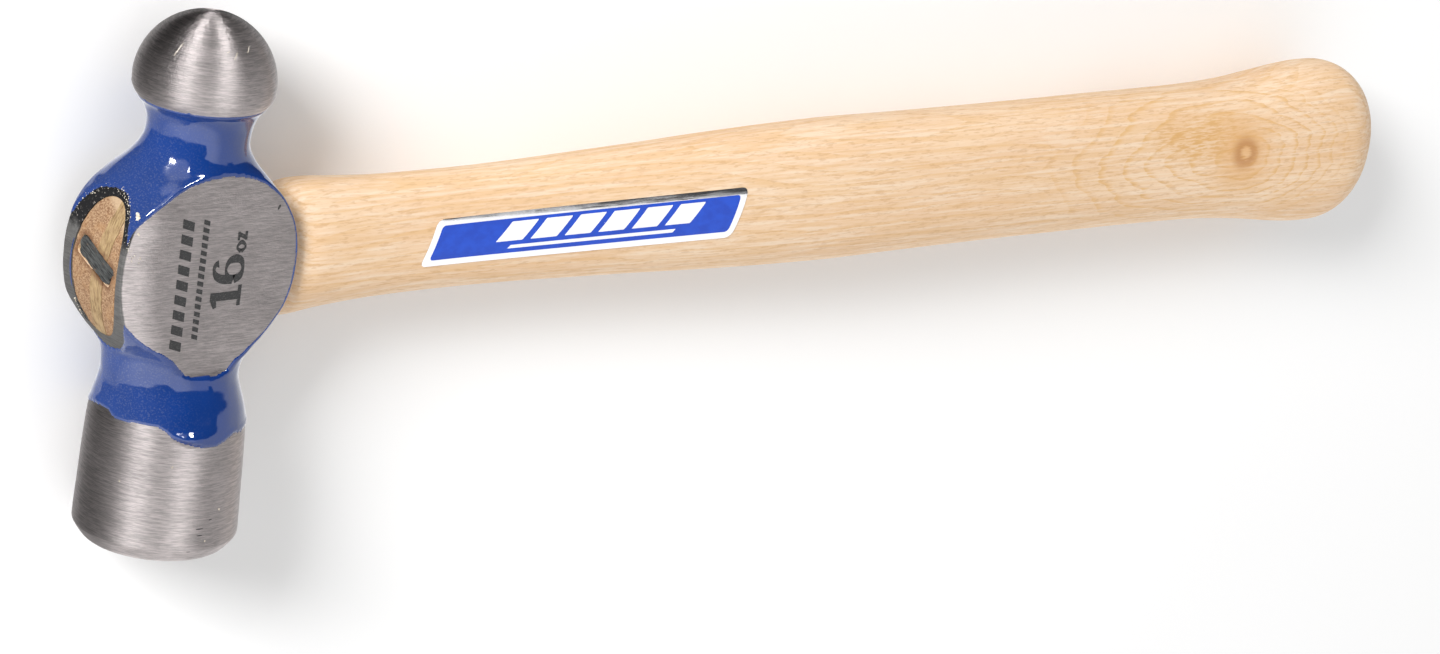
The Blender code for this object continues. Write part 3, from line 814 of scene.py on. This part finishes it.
def steel_block(name, spare, front_x, material, worn=0.0):
    """Tapered wedge lying across the kerf, with hammered, uneven edges."""
    cos_t, sin_t = math.cos(STEEL_TURN), math.sin(STEEL_TURN)
    rate = (STEEL_FRONT - STEEL_TIP) / (STEEL_END_X - STEEL_FRONT_X)
    columns = 112
    u, v = superellipse(columns, 1.0, 1.0, STEEL_POWER)

    def ring(x, shrink):
        half = (STEEL_FRONT - rate * (x - STEEL_FRONT_X)) / 2 + spare
        along = u * (STEEL_LENGTH / 2 + spare) * shrink[0]
        across = v * half * shrink[1]
        if worn:
            along = along + worn * (0.25 * np.sin(across * 2.6 + 1.0) * np.abs(u) + 0.35 * v * np.sign(u))
            across = across + worn * 0.14 * np.sin(along * 1.7 + 2.0 * v) * np.abs(v)
        y = STEEL_CENTRE[0] + along * sin_t + across * cos_t
        z = STEEL_CENTRE[1] - along * cos_t + across * sin_t
        return np.stack([np.full(columns, x), y, z], -1)

    rings = [ring(front_x, (0.985, 0.93))] if worn else []
    start = front_x + 0.25 * bool(worn)
    rings += [ring(x, (1.0, 1.0)) for x in np.linspace(start, STEEL_END_X + spare, 6)]
    return tube_solid(name, rings, material)


def build_handle():
    columns = 144
    rings, tip = tenon_rings(columns, 0.14, 0.10)
    xs = np.concatenate([[19.6, 20.0, 20.6, 21.3, 22.2, 23.5, 25.0], np.arange(27.0, 313.0, 2.2)])
    for x, (half_y, half_z) in zip(xs, hermite(HANDLE_SECTIONS, xs)):
        rings.append(handle_outline(x, half_y, half_z, handle_middle(x), columns))
    last = HANDLE_SECTIONS[-1]
    for degrees in range(2, 90, 4):
        a = math.radians(degrees)
        grow, shrink = math.cos(a) ** (2 / DOME_POWER), math.sin(a) ** (2 / DOME_POWER)
        x = DOME_X + (BUTT_X - DOME_X) * shrink
        rings.append(handle_outline(x, last[1] * grow, last[2] * grow, BUTT_DROP, columns))
    obj = tube_solid("handle_wood", rings, HICKORY, tip, (BUTT_X, BUTT_DROP, 0))
    cut(obj, kerf_block("kerf_cutter", 0.03, HICKORY))
    cut(obj, steel_block("slot_cutter", 0.16, CUT_FROM_X, HICKORY))
    soft_edges(obj, 45)
    obj.data.materials.append(END_GRAIN)
    end_x = world((-13.4, 0, 0))[0]
    for poly in obj.data.polygons:
        if poly.center.x < end_x and poly.normal.x < -0.5:
            poly.material_index = 1
    settle(obj, "handle")


def build_wood_wedge():
    rings, tip = tenon_rings(96, 0.18, 0.0)
    obj = tube_solid("wedge_in_kerf", rings[:-2], WEDGE_WOOD, tip)
    cut(obj, kerf_block("wedge_shape", -0.03, WEDGE_WOOD), "INTERSECT")
    cut(obj, steel_block("wedge_slot", 0.16, CUT_FROM_X, WEDGE_WOOD))
    soft_edges(obj, 40)
    settle(obj, "wood_wedge")


def build_steel_wedge():
    obj = steel_block("wedge_of_steel", -0.02, STEEL_FRONT_X - 0.1, WEDGE_STEEL, worn=1.0)
    soft_edges(obj, 35)
    settle(obj, "steel_wedge")


# ---- label
def side_point(x, y, lift):
    half_y, half_z = hermite(HANDLE_SECTIONS, [x])[0]
    n = HANDLE_POWER
    z = half_z * (1 - abs(y / half_y) ** n) ** (1 / n)
    grad_y = math.copysign(abs(y / half_y) ** (n - 1) / half_y, y)
    grad_z = (z / half_z) ** (n - 1) / half_z
    size = math.hypot(grad_y, grad_z)
    return (x, y + lift * grad_y / size, z + lift * grad_z / size)


def label_place(u, v):
    """Point of the slanted label, in shares of its length and height."""
    low_left, low_right, top_right, top_left = (np.array(corner) for corner in LABEL_CORNERS)
    return (1 - v) * ((1 - u) * low_left + u * low_right) + v * ((1 - u) * top_left + u * top_right)


def curved_patch(name, u0, u1, v0, v1, slant, radius, low, high, material, columns=60, rows=14):
    """Rounded slanted patch on the label, as a thin closed sheet."""
    span = (u1 - u0) * LABEL_LENGTH
    tall = (v1 - v0) * LABEL_HEIGHT
    layers = []
    for lift in (low, high):
        grid = []
        for r in range(rows + 1):
            s = 0.5 - 0.5 * math.cos(math.pi * r / rows)
            edge = min(s, 1 - s) * tall
            pull = 0.0
            if edge < radius:
                pull = radius - math.sqrt(max(radius ** 2 - (radius - edge) ** 2, 0.0))
            row = []
            for c in range(columns + 1):
                u = u0 + (pull + (span - 2 * pull) * c / columns) / LABEL_LENGTH + slant * (s - 0.5)
                row.append(side_point(*label_place(u, v0 + (v1 - v0) * s), lift))
            grid.append(row)
        layers.append(grid)
    wide = columns + 1
    verts = [p for grid in layers for row in grid for p in row]
    top = (rows + 1) * wide
    faces = []
    for r in range(rows):
        for c in range(columns):
            a = r * wide + c
            quad = (a, a + 1, a + wide + 1, a + wide)
            faces += [quad[::-1], tuple(top + i for i in quad)]
    rim = list(range(wide)) + [r * wide + columns for r in range(1, rows + 1)]
    rim += [rows * wide + c for c in range(columns - 1, -1, -1)]
    rim += [r * wide for r in range(rows - 1, 0, -1)]
    for i, j in zip(rim, rim[1:] + rim[:1]):
        faces.append((i, j, top + j, top + i))
    obj = mesh_piece(name, verts, faces, material)
    soft_edges(obj, 40)
    return obj


def join(name, objects):
    bm = bmesh.new()
    for obj in objects:
        bm.from_mesh(obj.data)
    mesh = bpy.data.meshes.new(name)
    bm.to_mesh(mesh)
    bm.free()
    for material in objects[0].data.materials:
        mesh.materials.append(material)
    for obj in objects:
        bpy.data.objects.remove(obj, do_unlink=True)
    return add_object(name, mesh)


def build_label():
    foil = curved_patch("label_foil", 0.0, 1.0, 0.0, 1.0, 0.0, 1.5, 0.02, 0.16, FOIL_SILVER)
    settle(foil, "label")
    field = curved_patch("label_field", 0.021, 0.979, 0.135, 0.865, 0.0, 0.8, 0.10, 0.20, FOIL_BLUE)
    settle(field)
    # plain bars in place of the printed name
    printed = [curved_patch("bar", u, u + 0.083, 0.40, 0.80, 0.030, 0.12, 0.15, 0.23, FOIL_WHITE, 10, 8)
               for u in np.linspace(0.225, 0.765, 6)]
    printed.append(curved_patch("bar", 0.26, 0.79, 0.235, 0.305, 0.006, 0.08, 0.15, 0.23, FOIL_WHITE, 40, 4))
    settle(join("label_bars", printed))


# ---- cheek marking
def stroke(points, widths, steps=10):
    """Outline pieces of a pen stroke through points, each with its own width."""
    last = len(points) - 1
    table = [(k, x, y, width) for k, ((x, y), width) in enumerate(zip(points, widths))]
    path = hermite(table, np.linspace(0, last, last * steps + 1))
    tangent = np.gradient(path[:, :2], axis=0)
    tangent /= np.maximum(np.linalg.norm(tangent, axis=1, keepdims=True), 1e-9)
    side = np.stack([-tangent[:, 1], tangent[:, 0]], -1) * path[:, 2:3] / 2
    return path[:, :2] + side, path[:, :2] - side


def decal(strips, name):
    """Flat marks just proud of the marked cheek, each with its own height."""
    stations = []
    for k, (left, right) in enumerate(strips):
        low, high = CHEEK_Z - 0.05, CHEEK_Z + 0.030 + 0.006 * (k % 5)
        corners = ((left, low), (right, low), (right, high), (left, high))
        stations.append(np.stack([np.column_stack([side, np.full(len(side), z)]) for side, z in corners], 1))
    return bars(name, stations, ETCHED)


def slab(x0, x1, y0, y1, lean=0.0):
    """Rectangle with its long side along x, its far end shifted by lean in y."""
    return (np.array([(x0, y0), (x1, y0 + lean)]), np.array([(x0, y1), (x1, y1 + lean)]))


def build_marking():
    # plain slanted bars and dashes, where a maker would stamp a mark
    strips = [slab(-8.9, -6.3, y, y + 1.75, -0.9) for y in -14.0 + 2.90 * np.arange(9)]
    strips += [slab(-4.2, -2.85, y, y + 0.90, -0.45) for y in -12.5 + 1.47 * np.arange(16)]
    # the head's weight: figures stand with their tops towards -x
    strips += [
        slab(5.15, 5.95, -7.0, -2.95),
        slab(-0.95, 5.3, -5.75, -4.1),
        stroke([(-0.75, -4.8), (-0.15, -5.8), (0.30, -7.1)], [0.6, 1.2, 0.75]),
        stroke([(3.85, -1.75), (5.15, -1.20), (5.70, 0.25), (5.15, 1.75), (3.85, 2.25),
                (2.5, 1.75), (1.95, 0.35), (2.5, -1.1), (3.85, -1.75)],
               [1.75, 1.35, 0.6, 1.25, 1.65, 1.1, 0.5, 1.05, 1.75]),
        stroke([(3.6, -1.75), (1.6, -1.60), (0.05, -0.95), (-0.75, 0.35), (-0.45, 1.35), (0.2, 1.55)],
               [1.75, 1.75, 1.4, 0.6, 0.95, 1.5]),
        stroke([(4.85, 3.6), (5.65, 4.15), (5.65, 4.8), (4.85, 5.35), (4.05, 4.8), (4.05, 4.15),
                (4.85, 3.6)], [0.85, 0.5, 0.5, 0.85, 0.5, 0.5, 0.85], 6),
        slab(3.8, 4.3, 5.75, 7.4),
        slab(5.4, 5.95, 5.75, 7.4),
        (np.array([(4.1, 6.5), (5.6, 5.75)]), np.array([(4.1, 7.4), (5.6, 6.65)])),
    ]
    settle(decal(strips, "weight_mark"))


# ---- glue, dirt
def blob_piece(name, blobs, material, seed):
    """Many small uneven lumps: (centre, radii) each."""
    rng = np.random.default_rng(seed)
    sphere = bmesh.new()
    bmesh.ops.create_icosphere(sphere, subdivisions=2, radius=1.0)
    unit = np.array([v.co[:] for v in sphere.verts])
    tris = [tuple(v.index for v in f.verts) for f in sphere.faces]
    sphere.free()
    verts, faces = [], []
    for centre, radii in blobs:
        start = len(verts)
        rough = 1 + 0.22 * np.sin(unit @ rng.normal(size=3) * 3 + rng.uniform(0, 6))
        rough += 0.15 * np.sin(unit @ rng.normal(size=3) * 6 + rng.uniform(0, 6))
        verts += (np.array(centre) + unit * rough[:, None] * np.array(radii)).tolist()
        faces += [tuple(start + i for i in t) for t in tris]
    return mesh_piece(name, verts, faces, material)


def ribbons(name, lines, material):
    """Thin raised streaks: each is (points, normals, width, lift)."""
    stations = []
    for points, normals, width, lift in lines:
        points, out = np.array(points, float), np.array(normals, float)
        out /= np.linalg.norm(out, axis=1, keepdims=True)
        side = np.cross(np.gradient(points, axis=0), out)
        side /= np.maximum(np.linalg.norm(side, axis=1, keepdims=True), 1e-9)
        side *= np.sin(np.linspace(0.35, math.pi - 0.35, len(points)))[:, None] * width / 2
        corners = ((-1, -0.15), (1, -0.15), (1, lift), (-1, lift))
        stations.append(np.stack([points + side * across + out * up for across, up in corners], 1))
    return bars(name, stations, material)


def streak(y0, degrees0, y1, degrees1, width, lift):
    """Short streak on the ball, or on the poll, for ribbons."""
    on_ball = y0 > 0
    points, normals = [], []
    for t in np.linspace(0, 1, 7 if on_ball else 5):
        y, a = y0 + (y1 - y0) * t, math.radians(degrees0 + (degrees1 - degrees0) * t)
        from_middle = y - BALL_Y if on_ball else 0.0
        r = math.sqrt(BALL_R ** 2 - from_middle ** 2) if on_ball else hermite(HEAD_SECTIONS, [y])[0][0]
        points.append((r * math.cos(a), y, r * math.sin(a)))
        normals.append((r * math.cos(a), from_middle, r * math.sin(a)))
    return points, normals, width, lift


def eye_line(degrees, out, x_lift):
    """Points along the eye's front edge, a little outside the wood."""
    ring = eye_outline(TENON_X, 720, -out)
    ring = ring[np.array(degrees) * 2]
    ring[:, 0] = grind_arc(ring[:, 1]) + x_lift
    return ring, np.tile((-1.0, 0.0, 0.0), (len(ring), 1))


def build_marks():
    bright = [streak(*row) for row in (
        (42.6, 78, 41.6, 84, 0.16, 0.02), (41.8, 96, 40.6, 101, 0.18, 0.02),
        (42.0, 104, 41.7, 108, 0.14, 0.02), (42.4, 154, 40.0, 158, 0.16, 0.02),
        (-45.6, 77.2, -45.2, 77.9, 0.35, 0.03), (-40.9, 154.6, -40.5, 155.2, 0.35, 0.03),
        (-36.2, 118.2, -36.6, 119.0, 0.25, 0.03), (-51.0, 88.0, -51.3, 88.7, 0.30, 0.03))]
    settle(ribbons("bright_scratches", bright, GLUE))
    black = [streak(*row) for row in (
        (-48.6, 91.0, -48.6, 96.6, 0.22, 0.01), (-49.9, 91.2, -49.9, 95.4, 0.20, 0.01),
        (-47.0, 84.0, -47.1, 86.6, 0.16, 0.01), (-53.0, 99.0, -53.0, 102.0, 0.16, 0.01))]
    nick = [(12.2 + 0.5 * t, 11.0 + 0.9 * t, CHEEK_Z) for t in (0, 0.4, 0.7, 1)]
    black.append((nick, [(0, 0, 1)] * len(nick), 0.55, 0.02))
    crack, facing = eye_line(np.arange(210, 238, 2), 0.10, -0.06)
    crack[:, 2] += 0.16 * np.sin(np.arange(len(crack)) * 1.9)
    black.append((crack, facing, 0.36, 0.03))
    settle(ribbons("dark_marks", black, ETCHED))
    sliver, facing = eye_line(np.arange(248, 284, 2), 0.25, -0.02)
    settle(ribbons("paint_sliver", [(sliver, facing, 0.34, 0.03)], ENAMEL))


def build_glue(rim):
    rng = np.random.default_rng(31)
    rim = rim[(rim[:, 1] > 3.0) & (np.abs(rim[:, 2]) < 10.3)]
    blobs = []
    while len(blobs) < 190:
        at = rim[rng.integers(len(rim))]
        if at[2] < 0 and rng.uniform() < 0.5 or rng.uniform() * 16 > at[1] + 2:
            continue
        size = rng.uniform(0.04, 0.13)
        jitter = rng.normal(size=3) * 0.16
        radii = (size * 0.6, size, size * rng.uniform(0.7, 1.6))
        blobs.append((at + jitter * np.array([0.4, 1, 1]), radii))
    for _ in range(26):
        a = rng.uniform(0, 1)
        at = np.array([-17.6, 12.0 - 4.4 * a, 8.6 + 0.2 * a])
        at = at + rng.normal(size=3) * np.array([0.12, 0.22, 0.22])
        size = rng.uniform(0.30, 0.60)
        blobs.append((at, (size * 0.6, size, size)))
    # pale glue squeezed out beside the crack low on the wood's edge
    edge, _ = eye_line(rng.integers(212, 238, 12), 0.45, -0.05)
    for at in edge:
        size = rng.uniform(0.08, 0.17)
        blobs.append((at + rng.normal(size=3) * np.array([0, 0.15, 0.15]), (size * 0.6, size, size)))
    settle(blob_piece("dried_glue", blobs, GLUE, 32))


build_head()
ring_rim = build_enamel()
build_handle()
build_wood_wedge()
build_steel_wedge()
build_label()
build_marking()
build_glue(ring_rim)
build_marks()


# ---- stage
def build_floor():
    bm = bmesh.new()
    bmesh.ops.create_grid(bm, x_segments=24, y_segments=24, size=FLOOR_HALF)
    mesh = bpy.data.meshes.new("floor")
    bm.to_mesh(mesh)
    bm.free()
    floor = add_object("floor", mesh)
    floor.location.z = CAD_BOX[0].z - 0.0002
    p = Paint("pale_floor")
    p.set(Base_Color=p.mix(p.noise(0.01), (0.98, 0.98, 0.98), (0.99, 0.99, 0.99)), Roughness=0.9,
          Specular_IOR_Level=0.1)
    mesh.materials.append(p.material)
    floor.visible_glossy = False


def area_light(name, azimuth, elevation, distance, size, power):
    """Square softbox at an angle round the head's axis and a height along it."""
    a, e = math.radians(azimuth), math.radians(elevation)
    away = Vector((math.cos(a) * math.cos(e), math.sin(e), math.sin(a) * math.cos(e)))
    data = bpy.data.lights.new(name, "AREA")
    data.size = size
    data.energy = power
    obj = add_object(name, data)
    obj.location = Vector(EYE) + away * distance
    obj.rotation_euler = (-away).to_track_quat("-Z", "Y").to_euler()
    return obj


def build_world():
    studio = bpy.data.worlds.new("studio")
    bpy.context.scene.world = studio
    studio.use_nodes = True
    tree = studio.node_tree
    tree.nodes.clear()
    x, y, z = Output(tree.nodes.new("ShaderNodeTexCoord").outputs["Generated"]).split()
    # in gloss: pale below the head's horizon, higher on the right than ahead
    # and on the left, with one soft white card ahead; dim above
    height = y - x.ramp(-0.34, -0.10) * 0.45
    # a gap in the pale side, which the right of the label's upper border mirrors
    gap = x.ramp(0.563, 0.573, 0.0, 0.165) * x.ramp(0.66, 0.72, 1.0, 0.0) * y.ramp(0.035, 0.07)
    pale = (height + gap).ramp(-0.31, -0.25, 1.0, 0.0)
    pale = pale * (x * 0.8 + z * -0.6).ramp(-0.56, -0.25, 1.0, 0.54)
    pale = pale * (x * -0.643 + z * -0.766).ramp(0.35, 0.85, 1.0, 0.58)
    card = (x * -0.335 + y * 0.881 + z * 0.335).ramp(0.925, 0.965, 0.0, 1.3)
    gloss = pale * GLOSS + 0.06 + card
    # more light comes from below the hammer's underside
    fill = y.ramp(-0.95, -0.45, 2.8, 1.0) * AMBIENT
    path = tree.nodes.new("ShaderNodeLightPath")
    glossy, camera = (Output(path.outputs[flag]) for flag in ("Is Glossy Ray", "Is Camera Ray"))
    level = fill * (1.0 - glossy) + gloss * glossy
    back = tree.nodes.new("ShaderNodeBackground")
    back.inputs["Color"].default_value = (1.0, 1.0, 1.0, 1.0)
    wire(back.inputs["Strength"], level * (1.0 - camera) + camera)
    out = tree.nodes.new("ShaderNodeOutputWorld")
    tree.links.new(back.outputs[0], out.inputs["Surface"])


def build_camera():
    """The hammer stands on its face's rim in this view, so the row's y is up."""
    yaw, pitch, roll = (math.radians(v) for v in CAMERA_TURN)
    back = np.array([-math.sin(yaw) * math.cos(pitch), -math.cos(yaw) * math.cos(pitch), math.sin(pitch)])
    level = np.array([math.cos(yaw), -math.sin(yaw), 0.0])
    over = np.cross(level, -back)
    right = math.cos(roll) * level + math.sin(roll) * over
    up = -math.sin(roll) * level + math.cos(roll) * over
    data = bpy.data.cameras.new("camera")
    data.sensor_width = 36.0
    data.lens = CAMERA_LENS
    data.clip_start, data.clip_end = 0.05, 50.0
    camera = add_object("camera", data)
    axes = Matrix([(v[0], v[2], -v[1]) for v in (right, up, back)]).transposed().to_4x4()
    axes.translation = Vector(world(CAMERA_PLACE))
    camera.matrix_world = axes
    bpy.context.scene.camera = camera


build_floor()
build_world()
build_camera()
# the small softboxes show only in gloss, and the large key light only in diffuse
for softbox in (area_light("light_left", 166.5, 54.0, 1.1, 0.17, 7.8),
                area_light("light_right", 76.5, 54.0, 1.1, 0.17, 5.3),
                area_light("light_small", 108.0, 50.0, 1.1, 0.075, 0.5)):
    softbox.visible_diffuse = False
area_light("light_key", 152.0, 28.0, 2.2, 0.7, 58.5).visible_glossy = False
bpy.context.scene.view_settings.view_transform = "Standard"
